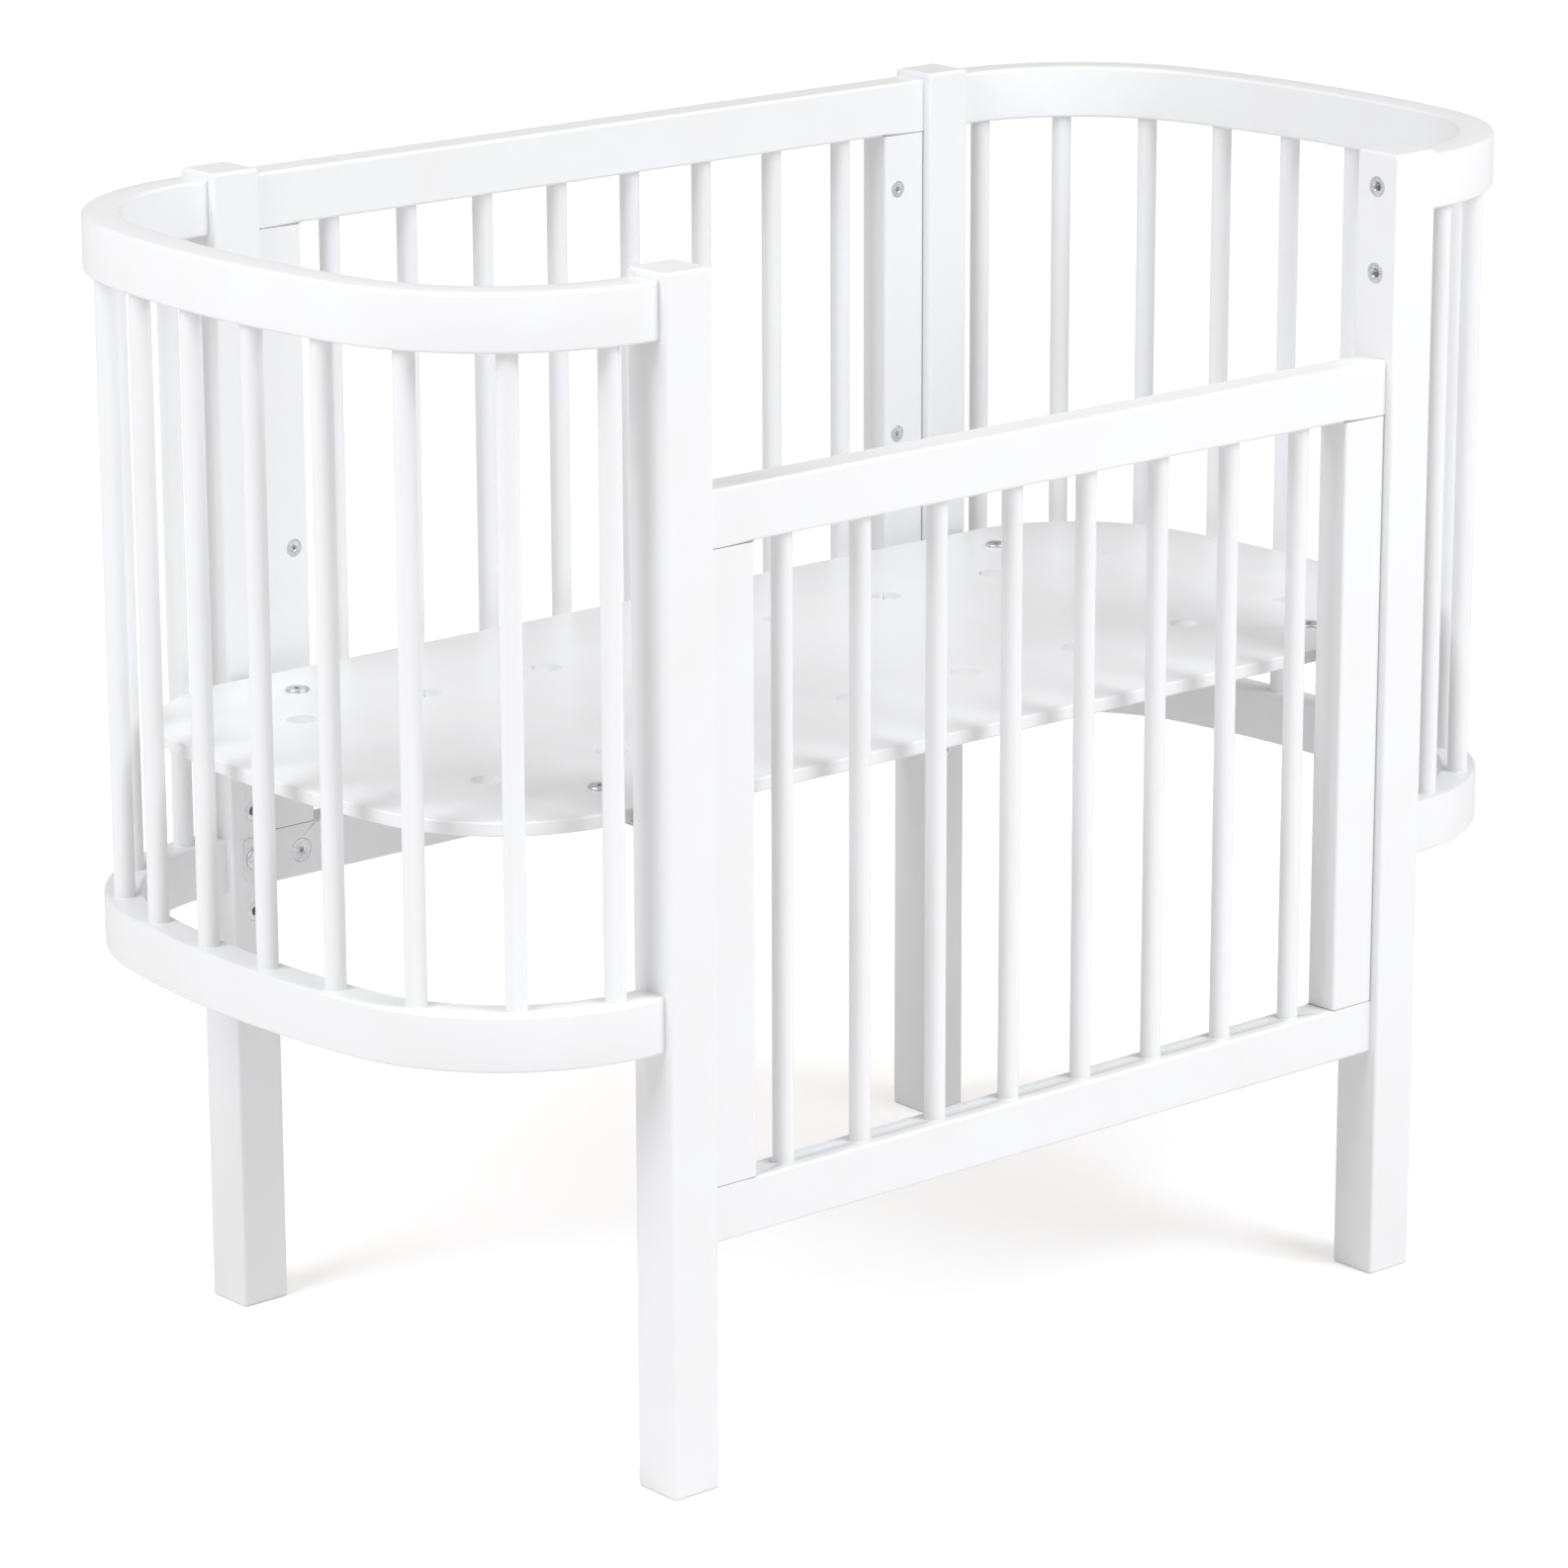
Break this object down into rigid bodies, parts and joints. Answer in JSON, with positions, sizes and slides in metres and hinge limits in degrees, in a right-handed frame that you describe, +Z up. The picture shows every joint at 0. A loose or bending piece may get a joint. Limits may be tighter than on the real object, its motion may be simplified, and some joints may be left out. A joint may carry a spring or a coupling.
{
  "type": "baby crib",
  "caption": "Oval wooden baby crib with bent spindle ends, a front side panel that can be set lower for bedside use, and a perforated mattress base.",
  "frame": {"origin": "centre of the four posts' plan, on the floor", "axes": "+X along the crib to the right-hand end, +Y to the rear side (away from the lowered side panel), +Z up"},
  "size_m": [1.0678, 0.54, 0.85],
  "materials": {
    "white_lacquer": "beech under a satin white lacquer",
    "zinc_steel": "bright zinc plating",
    "white_plastic": "moulded white plastic"
  },
  "bodies": {
    "frame": {"front_left_post": "white_lacquer", "front_right_post": "white_lacquer", "rear_left_post": "white_lacquer", "rear_right_post": "white_lacquer", "left_end_top_rail": "white_lacquer", "left_end_bottom_rail": "white_lacquer", "right_end_top_rail": "white_lacquer", "right_end_bottom_rail": "white_lacquer", "left_end_spindle_1": "white_lacquer", "left_end_spindle_2": "white_lacquer", "left_end_spindle_3": "white_lacquer", "left_end_spindle_4": "white_lacquer", "left_end_spindle_5": "white_lacquer", "left_end_spindle_6": "white_lacquer", "left_end_spindle_7": "white_lacquer", "left_end_spindle_8": "white_lacquer", "left_end_spindle_9": "white_lacquer", "left_end_spindle_10": "white_lacquer", "right_end_spindle_1": "white_lacquer", "right_end_spindle_2": "white_lacquer", "right_end_spindle_3": "white_lacquer", "right_end_spindle_4": "white_lacquer", "right_end_spindle_5": "white_lacquer", "right_end_spindle_6": "white_lacquer", "right_end_spindle_7": "white_lacquer", "right_end_spindle_8": "white_lacquer", "right_end_spindle_9": "white_lacquer", "right_end_spindle_10": "white_lacquer", "rear_panel_top_rail": "white_lacquer", "rear_panel_bottom_rail": "white_lacquer", "rear_panel_left_stile": "white_lacquer", "rear_panel_right_stile": "white_lacquer", "rear_spindle_1": "white_lacquer", "rear_spindle_2": "white_lacquer", "rear_spindle_3": "white_lacquer", "rear_spindle_4": "white_lacquer", "rear_spindle_5": "white_lacquer", "rear_spindle_6": "white_lacquer", "rear_spindle_7": "white_lacquer", "rear_spindle_8": "white_lacquer", "rear_panel_connectors": "zinc_steel", "post_inserts": "zinc_steel", "post_bolts": "zinc_steel", "rear_bolt_plates": "white_plastic", "base_brackets": "zinc_steel"},
    "front_side_panel": {"front_panel_top_rail": "white_lacquer", "front_panel_bottom_rail": "white_lacquer", "front_panel_left_stile": "white_lacquer", "front_panel_right_stile": "white_lacquer", "front_spindle_1": "white_lacquer", "front_spindle_2": "white_lacquer", "front_spindle_3": "white_lacquer", "front_spindle_4": "white_lacquer", "front_spindle_5": "white_lacquer", "front_spindle_6": "white_lacquer", "front_spindle_7": "white_lacquer", "front_spindle_8": "white_lacquer", "front_panel_connectors": "zinc_steel"},
    "mattress_base": {"base_board": "white_lacquer", "base_board_bolts": "zinc_steel"}
  },
  "joints": [
    {"name": "front_panel_height", "type": "slide", "parent": "frame", "child": "front_side_panel", "axis": [0, 0, 1], "range_m": [0, 0.145]},
    {"name": "base_lift", "type": "slide", "parent": "frame", "child": "mattress_base", "axis": [0, 0, 1], "range_m": [0, 0.4]}
  ]
}
